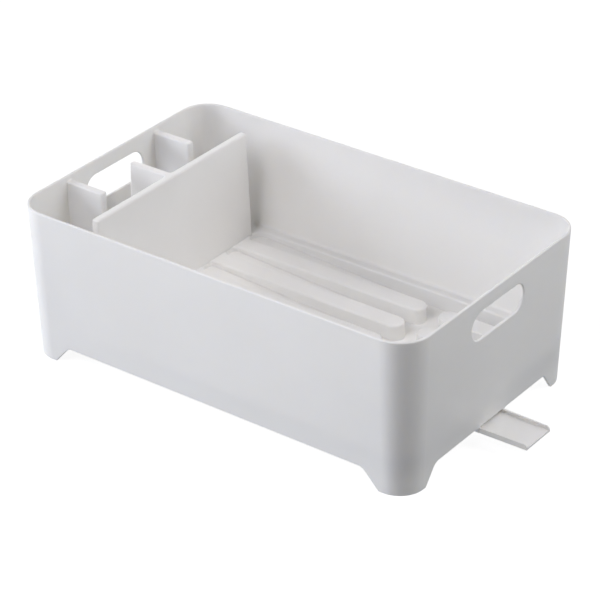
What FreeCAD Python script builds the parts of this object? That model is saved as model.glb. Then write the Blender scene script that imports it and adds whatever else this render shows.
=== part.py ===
import FreeCAD, Part
import math
import os
import Sketcher

# Dish drying rack: a moulded case whose ridged floor slopes down to a spout, and a
# T-shaped utensil divider that drops over locating pegs on that floor.
#
# Frame: millimetres, +X along the case towards the spout, +Z up. Each sub-part is built
# about the middle of the case and then moved, so that the origin is on the counter under
# the middle of the whole rack, spout included.

doc = FreeCAD.newDocument("dish_drying_rack")
sheet = doc.addObject("Spreadsheet::Sheet", "dims")

DIMENSIONS = {
    # Case outline: a rounded rectangle at the counter and a larger one at the rim.
    "case_height": 150.0,
    "rim_length": 416.4,
    "rim_width": 263.5,
    "rim_radius": 29.0,
    "base_length": 407.2,
    "base_width": 249.2,
    "base_radius": 24.0,
    "wall": 2.6,
    "rim_round": 1.2,
    # Feet: what the gaps in the skirt leave at the corners.
    "skirt_edge": 18.2,
    "long_gap_base": 175.0,
    "long_gap_top": 159.0,
    "short_gap_base": 97.0,
    "short_gap_top": 84.0,
    "gap_round": 9.0,
    # Hand slots in both end walls.
    "slot_length": 79.0,
    "slot_height": 27.4,
    "slot_middle": 122.2,
    "slot_round": 0.9,
    # Floor: a trough of channels between ridges, deeper towards the spout.
    "floor_top": 41.1,
    "skin": 2.4,
    "floor_fillet": 2.5,
    "trough_start": -129.6,
    "trough_end": 193.2,
    "trough_half_width": 114.9,
    "trough_corner": 10.0,
    "channel_end_round": 5.0,
    "channel_x": 80.0,
    "channel_z": 25.2,
    "channel_fall": 0.0533,
    "ridge_pitch": 35.1,
    "ridge_half_width": 9.7,
    "ridge_round": 2.0,
    "long_ridge_tip": 76.7,
    "short_ridge_start": 92.7,
    "short_ridge_end": 175.2,
    # Fins of the case and the divider, which share one height.
    "fin_top": 144.5,
    "fin_round": 1.5,
    "end_fin_y": 60.8,
    "end_fin_half_top": 3.7,
    "end_fin_half_base": 4.5,
    "end_fin_tip_top": 165.0,
    "end_fin_tip_base": 163.0,
    "end_fin_tip_round": 2.5,
    "divider_x": 138.8,
    "divider_half_top": 3.5,
    "divider_half_base": 8.3,
    "divider_fin_half_base": 5.3,
    "divider_reach_top": 105.2,
    "divider_reach_base": 105.5,
    "divider_corner": 2.2,
    "divider_tip_top": 184.9,
    "divider_tip_base": 186.2,
    "divider_tip_round": 3.0,
    "divider_joint_round": 3.0,
    "core_corner": 0.6,
    # Locating pegs, in line with the ridges, inside the divider's hollow foot.
    "peg_half_length": 8.0,
    "peg_half_thickness": 4.6,
    "peg_height": 10.0,
    # Spout.
    "spout_root": 188.0,
    "spout_tip": 251.2,
    "spout_half_root": 19.3,
    "spout_half_tip": 18.3,
    "spout_base": 12.9,
    "spout_top": 17.8,
    "spout_wall": 1.8,
    "spout_tip_round": 3.4,
    "spout_gusset": 4.5,
    "outlet_tall_end": 198.0,
    "outlet_end": 206.0,
    "outlet_tall_top": 25.0,
}

RIDGES = 6
OVERRUN = 15.0            # how far a cutting form runs past what it cuts
HAIR = 0.1                # an edge shorter than this along an axis is square to it

for row, (alias, value) in enumerate(DIMENSIONS.items(), start=1):
    sheet.set("A%d" % row, alias)
    sheet.set("B%d" % row, "%g" % value)
    sheet.setAlias("B%d" % row, alias)
doc.recompute()


def number(expression):
    """The value of an expression in the sheet's aliases."""
    return float(sheet.evalExpression(expression))


def vector(expressions):
    return FreeCAD.Vector(number(expressions[0]), number(expressions[1]), 0)


# ---------------------------------------------------------------- sketches

def new_body(name):
    body = doc.addObject("PartDesign::Body", name)
    body.Label = name
    return body


def new_sketch(body, name, role, height):
    """An empty sketch on one of the body's origin planes, raised along its normal."""
    plane = [item for item in body.Origin.OriginFeatures if item.Role == role][0]
    sketch = body.newObject("Sketcher::SketchObject", name)
    sketch.AttachmentSupport = [(plane, "")]
    sketch.MapMode = "FlatFace"
    sketch.setExpression("AttachmentOffset.Base.z", height)
    return sketch


def pin(sketch, element, point, place):
    """Hold a point of the sketch at a place given by two expressions."""
    for kind, expression in zip(("DistanceX", "DistanceY"), place):
        rule = Sketcher.Constraint(kind, -1, 1, element, point, number(expression))
        index = sketch.addConstraint(rule)
        sketch.setExpression("Constraints[%d]" % index, expression)


def polygon(body, name, role, corners, height="0"):
    """A closed outline of straight lines through corners given as expressions."""
    sketch = new_sketch(body, name, role, height)
    count = len(corners)
    for index in range(count):
        ends = vector(corners[index]), vector(corners[(index + 1) % count])
        sketch.addGeometry(Part.LineSegment(*ends), False)
    for index in range(count):
        sketch.addConstraint(Sketcher.Constraint("Coincident", index, 2, (index + 1) % count, 1))
        pin(sketch, index, 1, corners[index])
    return sketch


def rounded_rectangle(body, name, height, low, high, radius):
    """A level rectangle from corner low to corner high, with one radius at all corners."""
    sketch = new_sketch(body, name, "XY_Plane", height)
    inner_low = ["(%s) + (%s)" % (value, radius) for value in low]
    inner_high = ["(%s) - (%s)" % (value, radius) for value in high]
    centres = [
        (inner_high[0], inner_low[1]),
        (inner_high[0], inner_high[1]),
        (inner_low[0], inner_high[1]),
        (inner_low[0], inner_low[1]),
    ]
    round_size = number(radius)
    up = FreeCAD.Vector(0, 0, 1)
    quarter = math.pi / 2
    arcs = []
    for turn, centre in enumerate(centres):
        circle = Part.Circle(vector(centre), up, round_size)
        start = (turn - 1) * quarter
        arcs.append(Part.ArcOfCircle(circle, start, start + quarter))
    for arc in arcs:
        sketch.addGeometry(arc, False)
    for turn in range(4):
        following = arcs[(turn + 1) % 4]
        sketch.addGeometry(Part.LineSegment(arcs[turn].EndPoint, following.StartPoint), False)
    for turn, centre in enumerate(centres):
        line = 4 + turn
        sketch.addConstraint(Sketcher.Constraint("Tangent", turn, 2, line, 1))
        sketch.addConstraint(Sketcher.Constraint("Tangent", line, 2, (turn + 1) % 4, 1))
        pin(sketch, turn, 3, centre)
        index = sketch.addConstraint(Sketcher.Constraint("Radius", turn, round_size))
        sketch.setExpression("Constraints[%d]" % index, radius)
    return sketch


def stadium(body, name, role, low, high, middle, radius):
    """A bar with round ends between low and high on the sketch's first axis."""
    sketch = new_sketch(body, name, role, "0")
    centres = [
        ("(%s) - (%s)" % (high, radius), middle),
        ("(%s) + (%s)" % (low, radius), middle),
    ]
    round_size = number(radius)
    up = FreeCAD.Vector(0, 0, 1)
    quarter = math.pi / 2
    ends = []
    for turn, centre in enumerate(centres):
        circle = Part.Circle(vector(centre), up, round_size)
        start = (2 * turn - 1) * quarter
        ends.append(Part.ArcOfCircle(circle, start, start + 2 * quarter))
    for end in ends:
        sketch.addGeometry(end, False)
    for turn in range(2):
        sides = ends[turn].EndPoint, ends[1 - turn].StartPoint
        sketch.addGeometry(Part.LineSegment(*sides), False)
    for turn, centre in enumerate(centres):
        line = 2 + turn
        sketch.addConstraint(Sketcher.Constraint("Tangent", turn, 2, line, 1))
        sketch.addConstraint(Sketcher.Constraint("Tangent", line, 2, 1 - turn, 1))
        pin(sketch, turn, 3, centre)
    index = sketch.addConstraint(Sketcher.Constraint("Radius", 0, round_size))
    sketch.setExpression("Constraints[%d]" % index, radius)
    return sketch


# ---------------------------------------------------------------- features

def loft(body, kind, name, lower, upper):
    """A straight-sided AdditiveLoft or SubtractiveLoft between two sketches."""
    feature = body.newObject("PartDesign::" + kind, name)
    feature.Profile = lower
    feature.Sections = [upper]
    feature.Ruled = True
    return feature


def pad(body, name, sketch, length, both_ways=False):
    feature = body.newObject("PartDesign::Pad", name)
    feature.Profile = sketch
    feature.setExpression("Length", length)
    feature.SideType = "Symmetric" if both_ways else "One side"
    return feature


def pocket(body, name, sketch, side="Symmetric", towards_normal=False):
    """A cut through everything, on both sides of the sketch or on one."""
    feature = body.newObject("PartDesign::Pocket", name)
    feature.Profile = sketch
    feature.Type = "ThroughAll"
    feature.SideType = side
    feature.Reversed = towards_normal
    return feature


def repeat_across(body, name, feature):
    """Repeat a feature across the case, once for each ridge."""
    doc.recompute()
    axis = [item for item in body.Origin.OriginFeatures if item.Role == "Y_Axis"][0]
    pattern = body.newObject("PartDesign::LinearPattern", name)
    pattern.Originals = [feature]
    pattern.Direction = (axis, [""])
    pattern.setExpression("Length", "dims.ridge_pitch * %d" % (RIDGES - 1))
    pattern.Occurrences = RIDGES
    body.Tip = pattern
    return pattern


def round_edges(body, name, radius, wanted):
    """Fillet those edges of the body that the test wanted accepts by their box."""
    doc.recompute()
    base = body.Tip
    edges = base.Shape.Edges
    chosen = ["Edge%d" % (i + 1) for i, edge in enumerate(edges) if wanted(edge.BoundBox)]
    if not chosen:
        raise RuntimeError("no edge to round for " + name)
    fillet = body.newObject("PartDesign::Fillet", name)
    fillet.Base = (base, chosen)
    fillet.setExpression("Radius", radius)
    body.Tip = fillet
    return fillet


def near(value, expression, margin=0.05):
    return abs(value - number(expression)) < margin


def level(box, expression):
    """Whether an edge's box lies flat at the height of an expression."""
    return near(box.ZMin, expression) and near(box.ZMax, expression)


# ---------------------------------------------------------------- case shell

def case_outline(body, name, height, inset="0"):
    """The case's plan at a height, shrunk by an inset."""
    rise = "(%s) / dims.case_height" % height
    length = "(dims.base_length + (dims.rim_length - dims.base_length) * %s)" % rise
    width = "(dims.base_width + (dims.rim_width - dims.base_width) * %s)" % rise
    radius = "(dims.base_radius + (dims.rim_radius - dims.base_radius) * %s)" % rise
    high = ("%s / 2 - (%s)" % (length, inset), "%s / 2 - (%s)" % (width, inset))
    low = ("-(%s)" % high[0], "-(%s)" % high[1])
    return rounded_rectangle(body, name, height, low, high, "%s - (%s)" % (radius, inset))


def build_walls(body):
    """Tapered walls with a flat floor slab between an upper and a lower cavity."""
    ceiling = "dims.floor_top - dims.skin"
    outer = case_outline(body, "base_plan", "0"), case_outline(body, "rim_plan", "dims.case_height")
    loft(body, "AdditiveLoft", "block", *outer)
    upper = (
        case_outline(body, "floor_plan", "dims.floor_top", "dims.wall"),
        case_outline(body, "mouth_plan", "dims.case_height", "dims.wall"),
    )
    loft(body, "SubtractiveLoft", "tub_cavity", *upper)
    lower = (
        case_outline(body, "skirt_plan", "0", "dims.wall"),
        case_outline(body, "ceiling_plan", ceiling, "dims.wall"),
    )
    loft(body, "SubtractiveLoft", "underside_cavity", *lower)
    round_edges(body, "floor_corner", "dims.floor_fillet", lambda box: level(box, "dims.floor_top"))
    round_edges(body, "rim_edges", "dims.rim_round", lambda box: level(box, "dims.case_height"))


def gap_profile(half_base, half_top):
    """The trapezoid between two feet, from the counter up to the skirt's edge."""
    return [
        ("-" + half_base, "0"),
        (half_base, "0"),
        (half_top, "dims.skirt_edge"),
        ("-" + half_top, "dims.skirt_edge"),
    ]


def build_feet(body):
    """Gaps in the skirt that leave four feet, and a tab that carries the spout."""
    long_gap = gap_profile("dims.long_gap_base", "dims.long_gap_top")
    pocket(body, "long_gaps", polygon(body, "long_gap_profile", "XZ_Plane", long_gap))
    short_gap = gap_profile("dims.short_gap_base", "dims.short_gap_top")
    plain = polygon(body, "short_gap_profile", "YZ_Plane", short_gap)
    pocket(body, "plain_end_gap", plain, side="One side")
    tab = [
        ("-dims.spout_half_root", "dims.skirt_edge"),
        ("-dims.spout_half_root", "dims.spout_base"),
        ("dims.spout_half_root", "dims.spout_base"),
        ("dims.spout_half_root", "dims.skirt_edge"),
    ]
    around = polygon(body, "spout_gap_profile", "YZ_Plane", short_gap[:3] + tab[::-1] + short_gap[3:])
    pocket(body, "spout_end_gap", around, side="One side", towards_normal=True)

    def gap_corner(box):
        at_edge = level(box, "dims.skirt_edge")
        on_long = near(abs(box.Center.x), "dims.long_gap_top") and box.XLength < HAIR
        on_short = near(abs(box.Center.y), "dims.short_gap_top") and box.YLength < HAIR
        return at_edge and (on_long or on_short)

    def gusset_corner(box):
        at_edge = level(box, "dims.skirt_edge")
        return at_edge and near(abs(box.Center.y), "dims.spout_half_root") and box.YLength < HAIR

    round_edges(body, "gap_corners", "dims.gap_round", gap_corner)
    round_edges(body, "spout_gussets", "dims.spout_gusset", gusset_corner)


def build_hand_slots(body):
    """A slot with round ends through both end walls."""
    radius = "dims.slot_height / 2"
    ends = "-dims.slot_length / 2", "dims.slot_length / 2"
    profile = stadium(body, "slot_profile", "YZ_Plane", *ends, "dims.slot_middle", radius)
    pocket(body, "hand_slots", profile)

    def slot_rim(box):
        low = number("dims.slot_middle - dims.slot_height / 2") - HAIR
        high = number("dims.slot_middle + dims.slot_height / 2") + HAIR
        half = number("dims.slot_length / 2") + HAIR
        inside = max(-box.YMin, box.YMax) < half and box.ZMin > low and box.ZMax < high
        through = box.YLength < HAIR and box.ZLength < HAIR
        return inside and not through

    round_edges(body, "slot_edges", "dims.slot_round", slot_rim)


def fin_plan(body, name, height, wall_end, tip, half, middle):
    """A rectangle from inside the end wall to the fin's free end."""
    corners = [
        ("-(%s)" % wall_end, "%s - %s" % (middle, half)),
        ("-%s" % tip, "%s - %s" % (middle, half)),
        ("-%s" % tip, "%s + %s" % (middle, half)),
        ("-(%s)" % wall_end, "%s + %s" % (middle, half)),
    ]
    return polygon(body, name, "XY_Plane", corners, height)


def middle_of_end_wall(height):
    """How far the middle of the end wall's thickness is from the case's middle."""
    half = "dims.base_length / 2 + (dims.rim_length - dims.base_length) / 2 * %s / dims.case_height"
    return "(%s - dims.wall / 2)" % (half % height)


def build_end_fins(body):
    """Two hollow fins on the end wall, one each side of its hand slot."""
    wall_base = middle_of_end_wall("dims.floor_top")
    wall_top = middle_of_end_wall("dims.fin_top")
    for side, sign in (("front", "-"), ("back", "")):
        middle = "(%sdims.end_fin_y)" % sign
        lower = fin_plan(body, side + "_fin_base", "dims.floor_top - 1", wall_base,
                         "dims.end_fin_tip_base", "dims.end_fin_half_base", middle)
        upper = fin_plan(body, side + "_fin_crest", "dims.fin_top", wall_top,
                         "dims.end_fin_tip_top", "dims.end_fin_half_top", middle)
        loft(body, "AdditiveLoft", side + "_fin", lower, upper)

    def fin_tip(box):
        upright = box.ZLength > number("dims.fin_top - dims.floor_top") - 1
        low = -number("dims.end_fin_tip_top") - HAIR
        return upright and box.XMin > low and box.XMax < 0

    round_edges(body, "fin_tips", "dims.end_fin_tip_round", fin_tip)
    round_edges(body, "fin_crests", "dims.fin_round", lambda box: level(box, "dims.fin_top"))
    for side, sign in (("front", "-"), ("back", "")):
        middle = "(%sdims.end_fin_y)" % sign
        inner_wall = "%s - dims.wall"
        lower = fin_plan(body, side + "_core_base", "dims.floor_top - dims.skin - 1",
                         inner_wall % wall_base, "(dims.end_fin_tip_base + dims.wall)",
                         "(dims.end_fin_half_base - dims.wall)", middle)
        upper = fin_plan(body, side + "_core_crest", "dims.fin_top - dims.wall",
                         inner_wall % wall_top, "(dims.end_fin_tip_top + dims.wall)",
                         "(dims.end_fin_half_top - dims.wall)", middle)
        loft(body, "SubtractiveLoft", side + "_fin_core", lower, upper)


def build_pegs(body):
    """Locating pegs for the divider, one in line with each ridge."""
    first = "-dims.ridge_pitch * %g" % ((RIDGES - 1) / 2)
    corners = [
        ("-dims.divider_x - dims.peg_half_thickness", first + " - dims.peg_half_length"),
        ("-dims.divider_x + dims.peg_half_thickness", first + " - dims.peg_half_length"),
        ("-dims.divider_x + dims.peg_half_thickness", first + " + dims.peg_half_length"),
        ("-dims.divider_x - dims.peg_half_thickness", first + " + dims.peg_half_length"),
    ]
    plan = polygon(body, "peg_plan", "XY_Plane", corners, "dims.floor_top")
    peg = pad(body, "peg", plan, "dims.peg_height")
    repeat_across(body, "pegs", peg)


def build_shell():
    body = new_body("case_shell")
    build_walls(body)
    build_feet(body)
    build_hand_slots(body)
    build_end_fins(body)
    build_pegs(body)
    return body


# ---------------------------------------------------------------- case floor

def build_floor_form(name, top, drop, outset, ridge_inset):
    """The channels' form: a sloping block with a gap where each ridge stands."""
    body = new_body(name)
    half = "dims.trough_half_width + %s" % outset
    low = "dims.trough_start - %s" % outset, "-(%s)" % half
    high = "dims.trough_end + %s" % outset, half
    radius = "dims.trough_corner + %s" % outset
    pad(body, name + "_block", rounded_rectangle(body, name + "_plan", "0", low, high, radius), top)
    far = "dims.trough_end + %g" % OVERRUN
    slope = "dims.channel_z - (%s) - (%s - dims.channel_x) * dims.channel_fall"
    below = [
        ("-(%s)" % far, "-1"),
        (far, "-1"),
        (far, slope % (drop, "(%s)" % far)),
        ("-(%s)" % far, slope % (drop, "(-(%s))" % far)),
    ]
    pocket(body, name + "_slope", polygon(body, name + "_below", "XZ_Plane", below))
    first = "-dims.ridge_pitch * %g" % ((RIDGES - 1) / 2)
    radius = "dims.ridge_half_width - %s" % ridge_inset
    spans = {
        "long": ("-(%s)" % far, "dims.long_ridge_tip - %s" % ridge_inset),
        "short": (
            "dims.short_ridge_start + %s" % ridge_inset,
            "dims.short_ridge_end - %s" % ridge_inset,
        ),
    }
    for kind, (start, end) in spans.items():
        ridge = stadium(body, "%s_%s_ridge" % (name, kind), "XY_Plane", start, end, first, radius)
        gap = pocket(body, "%s_%s_gap" % (name, kind), ridge)
        repeat_across(body, "%s_%s_gaps" % (name, kind), gap)
    return body


def build_trough():
    """The empty space of the channels, which is cut out of the floor."""
    body = build_floor_form("trough_space", "dims.floor_top + 1", "0", "0", "0")

    def channel_end(box):
        upright = box.XLength < HAIR and box.YLength < HAIR
        return upright and near(box.XMin, "dims.trough_start")

    round_edges(body, "channel_ends", "dims.channel_end_round", channel_end)
    return body


def build_liner():
    """The skin round the channels, hollow below the ridges."""
    ceiling = "dims.floor_top - dims.skin / 2"
    return build_floor_form("channel_skin", ceiling, "dims.skin", "dims.skin", "dims.skin")


def build_spout():
    """An open gutter from the low end of the floor out below the end wall."""
    body = new_body("spout_gutter")
    corners = [
        ("dims.spout_root", "-dims.spout_half_root"),
        ("dims.spout_tip", "-dims.spout_half_tip"),
        ("dims.spout_tip", "dims.spout_half_tip"),
        ("dims.spout_root", "dims.spout_half_root"),
    ]
    plan = polygon(body, "spout_plan", "XY_Plane", corners, "dims.spout_base")
    pad(body, "spout_block", plan, "dims.spout_top - dims.spout_base")

    def tip_top(box):
        return near(box.XMin, "dims.spout_tip") and level(box, "dims.spout_top")

    round_edges(body, "spout_tip_corners", "dims.spout_tip_round", tip_top)
    inner = [
        ("dims.spout_root + dims.skin", "-(dims.spout_half_root - dims.spout_wall)"),
        ("dims.spout_tip + 1", "-(dims.spout_half_tip - dims.spout_wall)"),
        ("dims.spout_tip + 1", "dims.spout_half_tip - dims.spout_wall"),
        ("dims.spout_root + dims.skin", "dims.spout_half_root - dims.spout_wall"),
    ]
    water = polygon(body, "spout_inside", "XY_Plane", inner, "dims.spout_base + dims.spout_wall")
    pocket(body, "spout_channel", water, side="One side", towards_normal=True)
    return body


def build_outlet():
    """The passage from the trough through its end and the end wall into the spout."""
    body = new_body("outlet_space")
    floor = "dims.spout_base + dims.spout_wall"
    start = "dims.spout_root + dims.skin"
    corners = [
        (start, floor),
        ("dims.outlet_end", floor),
        ("dims.outlet_end", "dims.skirt_edge"),
        ("dims.outlet_tall_end", "dims.skirt_edge"),
        ("dims.outlet_tall_end", "dims.outlet_tall_top"),
        (start, "dims.outlet_tall_top"),
    ]
    profile = polygon(body, "outlet_profile", "XZ_Plane", corners)
    width = "2 * (dims.spout_half_root - dims.spout_wall)"
    pad(body, "outlet_block", profile, width, both_ways=True)
    return body


def build_case():
    """One moulding: shell, channel skin and spout, less the channels and the outlet."""
    solid = doc.addObject("Part::MultiFuse", "case_solid")
    solid.Shapes = [build_shell(), build_liner(), build_spout()]
    drained = doc.addObject("Part::Cut", "case_with_channels")
    drained.Base = solid
    drained.Tool = build_trough()
    opened = doc.addObject("Part::Cut", "case_with_outlet")
    opened.Base = drained
    opened.Tool = build_outlet()
    doc.recompute()
    chosen = []
    for index, edge in enumerate(opened.Shape.Edges, start=1):
        if is_channel_edge(edge.BoundBox):
            chosen.append((index, number("dims.ridge_round"), number("dims.ridge_round")))
    case = doc.addObject("Part::Fillet", "rack_case")
    case.Base = opened
    case.Edges = chosen
    case.Label = "rack_case"
    return case


def is_channel_edge(box):
    """Whether an edge's box lies at floor level on the trough's outline or within it."""
    margin = 5 * HAIR
    across = max(-box.YMin, box.YMax) < number("dims.trough_half_width") + margin
    along = box.XMin > number("dims.trough_start") - margin
    along = along and box.XMax < number("dims.trough_end") + margin
    return level(box, "dims.floor_top") and across and along


# ---------------------------------------------------------------- divider

def divider_plans(body, name, floor, crest, inset, corner):
    """The plans of the panel and of the fin, each at the floor and at the crest."""
    plans = []
    fin_halves = {"base": "dims.divider_fin_half_base", "top": "dims.divider_half_top"}
    for part in ("panel", "fin"):
        for place, height in (("base", floor), ("top", crest)):
            half = "(dims.divider_half_%s - %s)" % (place, inset)
            reach = "(dims.divider_reach_%s - %s)" % (place, inset)
            tip = "(dims.divider_tip_%s - %s)" % (place, inset)
            low = "-dims.divider_x - %s" % half, "-%s" % reach
            high = "-dims.divider_x + %s" % half, reach
            if part == "fin":
                half = "(%s - %s)" % (fin_halves[place], inset)
                low = "-%s" % tip, "-%s" % half
                high = "-dims.divider_x", half
            label = "%s_%s_%s" % (name, part, place)
            plans.append(rounded_rectangle(body, label, height, low, high, corner[part]))
    return plans


def build_divider():
    """A hollow panel across the case with a fin towards the end wall, open below."""
    body = new_body("utensil_divider")
    rounds = {"panel": "dims.divider_corner", "fin": "dims.divider_tip_round"}
    plans = divider_plans(body, "outer", "dims.floor_top", "dims.fin_top", "0", rounds)
    loft(body, "AdditiveLoft", "panel", plans[0], plans[1])
    loft(body, "AdditiveLoft", "fin", plans[2], plans[3])

    def joint(box):
        upright = box.ZLength > number("dims.fin_top - dims.floor_top") - 1
        on_fin = abs(box.Center.y) < number("dims.divider_half_base")
        midway = -number("(dims.divider_x + dims.divider_tip_base) / 2")
        return upright and on_fin and box.Center.x > midway

    round_edges(body, "fin_joint", "dims.divider_joint_round", joint)
    round_edges(body, "crest_edges", "dims.fin_round", lambda box: level(box, "dims.fin_top"))
    tight = {"panel": "dims.core_corner", "fin": "dims.core_corner"}
    ceiling = "dims.fin_top - dims.wall"
    cores = divider_plans(body, "core", "dims.floor_top", ceiling, "dims.wall", tight)
    loft(body, "SubtractiveLoft", "panel_core", cores[0], cores[1])
    loft(body, "SubtractiveLoft", "fin_core", cores[2], cores[3])
    return body


# ---------------------------------------------------------------- export

def check(parts):
    """Stop if any object failed to compute or any sub-part isn't one valid solid."""
    for item in doc.Objects:
        if "Invalid" in item.State or "Error" in item.State:
            raise RuntimeError("failed: " + item.Name)
    for part in parts:
        shape = part.Shape
        if shape.isNull() or not shape.isValid() or len(shape.Solids) != 1:
            raise RuntimeError("not one valid solid: " + part.Label)


parts = [build_case(), build_divider()]
for part in parts:
    part.setExpression("Placement.Base.x", "-(dims.spout_tip - dims.rim_length / 2) / 2")
doc.recompute()
check(parts)
os.makedirs("parts", exist_ok=True)
for part in parts:
    part.Shape.exportStep("parts/%s.step" % part.Label)
    box = part.Shape.BoundBox
    print(part.Label, "volume %.0f mm3" % part.Shape.Volume, "faces %d" % len(part.Shape.Faces))
    print("  x %.1f to %.1f" % (box.XMin, box.XMax), "y %.1f to %.1f" % (box.YMin, box.YMax),
          "z %.1f to %.1f" % (box.ZMin, box.ZMax))
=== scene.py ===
import math

import bmesh
import bpy
from mathutils import Matrix, Vector


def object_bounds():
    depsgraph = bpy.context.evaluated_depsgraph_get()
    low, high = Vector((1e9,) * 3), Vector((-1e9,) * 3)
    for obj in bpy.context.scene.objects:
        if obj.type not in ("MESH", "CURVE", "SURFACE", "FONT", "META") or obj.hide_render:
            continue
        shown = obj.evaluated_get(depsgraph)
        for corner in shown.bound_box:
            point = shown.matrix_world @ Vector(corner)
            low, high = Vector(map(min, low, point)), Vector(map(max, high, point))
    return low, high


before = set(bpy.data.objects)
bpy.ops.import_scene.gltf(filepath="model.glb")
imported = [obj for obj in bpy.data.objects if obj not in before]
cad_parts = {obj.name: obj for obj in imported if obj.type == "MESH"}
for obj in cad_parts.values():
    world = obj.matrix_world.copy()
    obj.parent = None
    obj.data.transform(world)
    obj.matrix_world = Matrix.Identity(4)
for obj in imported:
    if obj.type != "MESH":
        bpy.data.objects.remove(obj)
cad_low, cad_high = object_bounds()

# The dish rack's looks: two white polypropylene mouldings on a pale studio floor.
# Metres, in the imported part's frame: +X towards the spout, +Z up.


# ---------------------------------------------------------------- shader helpers

def add_node(tree, kind, **inputs):
    """A new node, with each named input set to a value or linked to another node's output."""
    node = tree.nodes.new(kind)
    for name, value in inputs.items():
        socket = node.inputs[name.replace("_", " ")]
        if isinstance(value, bpy.types.NodeSocket):
            tree.links.new(value, socket)
        else:
            socket.default_value = value
    return node


def noise(tree, place, scale, detail, roughness=0.5):
    """A noise pattern's output, 0 to 1; scale is in features per metre."""
    node = add_node(
        tree, "ShaderNodeTexNoise", Vector=place, Scale=scale, Detail=detail, Roughness=roughness,
    )
    return node.outputs["Fac"]


def remap(tree, value, given, wanted):
    """Maps a value from the given range to the wanted one, and clamps it there."""
    node = add_node(
        tree, "ShaderNodeMapRange", Value=value,
        From_Min=given[0], From_Max=given[1], To_Min=wanted[0], To_Max=wanted[1],
    )
    return node.outputs["Result"]


def mix_colours(tree, factor, first, second):
    """Blends two colours, each a tuple or another node's output."""
    node = tree.nodes.new("ShaderNodeMix")
    node.data_type = "RGBA"
    tree.links.new(factor, node.inputs["Factor"])
    colour_sockets = [socket for socket in node.inputs if socket.type == "RGBA"]
    for socket, colour in zip(colour_sockets, (first, second)):
        if isinstance(colour, tuple):
            socket.default_value = colour + (1.0,)
        else:
            tree.links.new(colour, socket)
    return [socket for socket in node.outputs if socket.type == "RGBA"][0]


def bump(tree, height, distance, strength, normal):
    """Tilts a normal by a height pattern whose full depth is distance, in metres."""
    node = add_node(
        tree, "ShaderNodeBump", Height=height, Distance=distance, Strength=strength, Normal=normal,
    )
    return node.outputs["Normal"]


def combine(tree, kind, operation, first, second):
    """The value that a maths node makes of two inputs, each a constant or another's output."""
    node = tree.nodes.new(kind)
    node.operation = operation
    for socket, value in zip(node.inputs, (first, second)):
        if isinstance(value, bpy.types.NodeSocket):
            tree.links.new(value, socket)
        else:
            socket.default_value = value
    return node.outputs["Value"]


def dot_product(tree, first, second):
    return combine(tree, "ShaderNodeVectorMath", "DOT_PRODUCT", first, second)


# ---------------------------------------------------------------- materials

FULL = 0.0, 1.0
EDGE_SOFTNESS = 0.0005               # radius of the rounding on every edge, metres
EDGE_SAMPLES = 6
EDGE_TURN = 0.995, 0.80              # cosines of the turn where the paler edge (rubbed wear and painted sheen) starts and is full
CLOUD_SCALE = 14.0                   # noise features per metre, here and below
CLOUD_BAND = 0.35, 0.65
SMEAR_SCALE = 55.0
SMEAR_BAND = 0.3, 0.7
SATIN = 0.30, 0.38                   # roughness, from glossy smear to dull
PLASTIC_IOR = 1.49
GLOW_DEPTH = 0.0045                  # how far light spreads inside the plastic, metres
GLOW_REACH = (1.0, 0.93, 0.80)       # and how far each colour does, against red
WAVE_SCALE = 20.0
WAVE_DEPTH = 0.0005
WAVE_STRENGTH = 0.35
GRAIN_SCALE = 1600.0
GRAIN_DEPTH = 0.00002
GRAIN_STRENGTH = 0.3
# Paler edge colour: partly rubbed wear, partly a painted sheen that lightens the edges.
EDGE_WEAR_AND_SHEEN_WHITE = (0.93, 0.928, 0.92)


def edge_mask(tree, rounded):
    """0 on flat faces and up to 1 on sharp edges, from how far the rounded normal turns."""
    flat = tree.nodes.new("ShaderNodeNewGeometry").outputs["Normal"]
    return remap(tree, dot_product(tree, rounded, flat), EDGE_TURN, FULL)


def moulded_plastic(name, colour, shade, translucency):
    """White satin polypropylene: cloudy tint, mould grain, waviness, soft edges painted paler as
    rubbed wear and as a painted sheen.
    """
    material = bpy.data.materials.new(name)
    material.use_nodes = True
    tree = material.node_tree
    surface = tree.nodes["Principled BSDF"]
    place = tree.nodes.new("ShaderNodeTexCoord").outputs["Object"]

    bevel = add_node(tree, "ShaderNodeBevel", Radius=EDGE_SOFTNESS)
    bevel.samples = EDGE_SAMPLES
    rounded = bevel.outputs["Normal"]

    cloud = remap(tree, noise(tree, place, CLOUD_SCALE, detail=3.0), CLOUD_BAND, FULL)
    tint = mix_colours(tree, cloud, colour, shade)
    # Painted sheen and rubbed wear: the edges' colour is lightened towards a paler white.
    tint = mix_colours(tree, edge_mask(tree, rounded), tint, EDGE_WEAR_AND_SHEEN_WHITE)
    tree.links.new(tint, surface.inputs["Base Color"])

    smear = noise(tree, place, SMEAR_SCALE, detail=4.0, roughness=0.6)
    tree.links.new(remap(tree, smear, SMEAR_BAND, SATIN), surface.inputs["Roughness"])
    surface.inputs["IOR"].default_value = PLASTIC_IOR
    surface.inputs["Subsurface Weight"].default_value = translucency
    surface.inputs["Subsurface Radius"].default_value = GLOW_REACH
    surface.inputs["Subsurface Scale"].default_value = GLOW_DEPTH

    waves = noise(tree, place, WAVE_SCALE, detail=1.0)
    wavy = bump(tree, waves, WAVE_DEPTH, WAVE_STRENGTH, rounded)
    grain = noise(tree, place, GRAIN_SCALE, detail=2.0)
    grainy = bump(tree, grain, GRAIN_DEPTH, GRAIN_STRENGTH, wavy)
    tree.links.new(grainy, surface.inputs["Normal"])
    return material


def dress(node, material):
    """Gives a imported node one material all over."""
    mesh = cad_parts[node].data
    mesh.materials.clear()
    mesh.materials.append(material)


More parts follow.
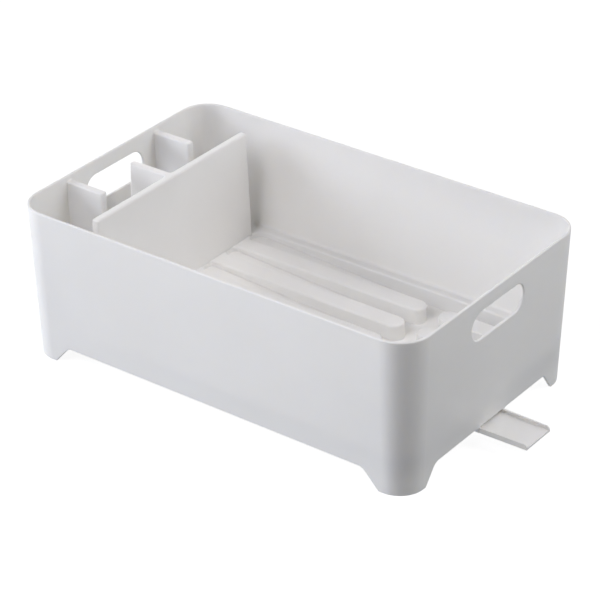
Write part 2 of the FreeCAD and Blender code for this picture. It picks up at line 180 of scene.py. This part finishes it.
# The tub's thin walls let more light through than the divider's double ones.
case_plastic = moulded_plastic(
    "case_white",
    colour=(0.905, 0.90, 0.882),
    shade=(0.89, 0.884, 0.864),
    translucency=0.5,
)
divider_plastic = moulded_plastic(
    "divider_white",
    colour=(0.91, 0.903, 0.885),
    shade=(0.895, 0.887, 0.868),
    translucency=0.12,
)
dress("rack_case", case_plastic)
dress("utensil_divider", divider_plastic)


# ---------------------------------------------------------------- studio

FLOOR_HALF = 40.0                    # metres, like every length here
FLOOR_SHADE = 0.30
FLOOR_GLOW = 0.86
BACKDROP_RADIUS = 45.0
BACKDROP_GLOW = 0.95
STUDIO_ROUGHNESS = 0.9
BOX_SIZE = 1.2
BOX_DISTANCE = 2.6
# name, azimuth, elevation, radiant power in watts, colour
SOFTBOXES = (
    ("left_front", -55.0, 20.0, 20.5, (0.93, 0.95, 1.0)),
    ("front_low", -30.0, 20.0, 13.7, (0.82, 0.87, 1.0)),
    ("right_low", 125.0, 20.0, 15.5, (0.90, 0.94, 1.0)),
    ("back_left_low", -140.0, 20.0, 11.2, (1.0, 0.98, 0.97)),
    ("front_high", 0.0, 50.0, 26.4, (1.0, 0.97, 1.0)),
    ("right_back_high", 120.0, 50.0, 24.8, (1.0, 0.97, 0.965)),
)
# Light that comes up from below the horizon, as off pale boards beside the object:
# azimuth and peak radiance of each lobe.
BOUNCES = ((-60.0, 0.86), (-110.0, 0.64), (125.0, 0.49))
BOUNCE_COLOUR = (0.98, 1.0, 1.03, 1.0)
HORIZON_BAND = 0.05, -0.05           # heights where the bounced light starts and is full


def add_to_scene(name, data):
    thing = bpy.data.objects.new(name, data)
    bpy.context.scene.collection.objects.link(thing)
    return thing


def studio_surface(mesh, shade, glow):
    """Shows a plain glowing mesh to the camera alone, so that it neither lights nor shades."""
    material = bpy.data.materials.new(mesh.name)
    material.use_nodes = True
    material.cycles.emission_sampling = "NONE"
    surface = material.node_tree.nodes["Principled BSDF"]
    surface.inputs["Base Color"].default_value = (shade, shade, shade, 1.0)
    surface.inputs["Roughness"].default_value = STUDIO_ROUGHNESS
    surface.inputs["Emission Color"].default_value = (1.0, 1.0, 1.0, 1.0)
    surface.inputs["Emission Strength"].default_value = glow
    mesh.materials.append(material)
    thing = add_to_scene(mesh.name, mesh)
    thing.visible_diffuse = False
    thing.visible_glossy = False
    thing.visible_transmission = False
    thing.visible_shadow = False


def make_floor():
    half = FLOOR_HALF
    mesh = bpy.data.meshes.new("studio_floor")
    corners = [(-half, -half, 0), (half, -half, 0), (half, half, 0), (-half, half, 0)]
    mesh.from_pydata(corners, [], [(0, 1, 2, 3)])
    studio_surface(mesh, FLOOR_SHADE, FLOOR_GLOW)


def make_backdrop():
    """A pale dome behind everything, for views from near the floor."""
    shape = bmesh.new()
    bmesh.ops.create_icosphere(shape, subdivisions=3, radius=BACKDROP_RADIUS)
    mesh = bpy.data.meshes.new("studio_backdrop")
    shape.to_mesh(mesh)
    shape.free()
    studio_surface(mesh, 0.0, BACKDROP_GLOW)


def direction(azimuth, elevation):
    """Unit vector from the object; azimuth 0 is towards -Y and 90 towards +X, in degrees."""
    turn = math.radians(azimuth)
    rise = math.radians(elevation)
    return Vector((
        math.sin(turn) * math.cos(rise),
        -math.cos(turn) * math.cos(rise),
        math.sin(rise),
    ))


def make_softboxes():
    """Square lights that face a point half way up the object."""
    middle = Vector((0.0, 0.0, cad_high.z / 2))
    for name, azimuth, elevation, power, colour in SOFTBOXES:
        light = bpy.data.lights.new(name, "AREA")
        light.shape = "SQUARE"
        light.size = BOX_SIZE
        light.energy = power
        light.color = colour
        lamp = add_to_scene(name, light)
        towards = direction(azimuth, elevation)
        lamp.location = middle + towards * BOX_DISTANCE
        lamp.rotation_mode = "QUATERNION"
        lamp.rotation_quaternion = towards.to_track_quat("Z", "Y")


def make_world():
    """Bounced light: nothing from above the horizon, and soft lobes below it."""
    world = bpy.data.worlds.new("studio_bounce")
    world.use_nodes = True
    tree = world.node_tree
    towards = tree.nodes.new("ShaderNodeTexCoord").outputs["Generated"]
    height = add_node(tree, "ShaderNodeSeparateXYZ", Vector=towards).outputs["Z"]
    total = 0.0
    for azimuth, radiance in BOUNCES:
        facing = dot_product(tree, towards, direction(azimuth, 0.0))
        lobe = remap(tree, facing, FULL, (0.0, radiance))
        total = combine(tree, "ShaderNodeMath", "ADD", lobe, total)
    below = remap(tree, height, HORIZON_BAND, FULL)
    strength = combine(tree, "ShaderNodeMath", "MULTIPLY", below, total)
    background = tree.nodes["Background"]
    background.inputs["Color"].default_value = BOUNCE_COLOUR
    tree.links.new(strength, background.inputs["Strength"])
    bpy.context.scene.world = world


# ---------------------------------------------------------------- camera

CAMERA_AZIMUTH = 36.8
CAMERA_ELEVATION = 29.8
CAMERA_ROLL = -0.364
CAMERA_DISTANCE = 2.3182
CAMERA_LENS = 159.02                 # mm, as is the sensor's width
CAMERA_SENSOR = 36.0
CAMERA_SHIFT = 0.00477, -0.01883
CAMERA_RANGE = 0.05, 60.0
SPOUT_REACH = 0.043                  # how far the spout sticks out past the rim


def make_camera():
    """Points the camera at the middle of the case, which is the object less its spout."""
    middle = (cad_low + cad_high) / 2
    middle.x -= SPOUT_REACH / 2
    back = direction(CAMERA_AZIMUTH, CAMERA_ELEVATION)
    turn = math.radians(CAMERA_AZIMUTH)
    level = Vector((math.cos(turn), math.sin(turn), 0.0))
    upright = back.cross(level)
    roll = math.radians(CAMERA_ROLL)
    right = level * math.cos(roll) + upright * math.sin(roll)
    up = upright * math.cos(roll) - level * math.sin(roll)
    data = bpy.data.cameras.new("photo_view")
    data.lens = CAMERA_LENS
    data.sensor_width = CAMERA_SENSOR
    data.shift_x, data.shift_y = CAMERA_SHIFT
    data.clip_start, data.clip_end = CAMERA_RANGE
    camera = add_to_scene("photo_view", data)
    pose = Matrix((right, up, back)).transposed().to_4x4()
    pose.translation = middle + back * CAMERA_DISTANCE
    camera.matrix_world = pose
    bpy.context.scene.camera = camera


make_floor()
make_backdrop()
make_softboxes()
make_world()
make_camera()
bpy.context.scene.view_settings.view_transform = "Standard"
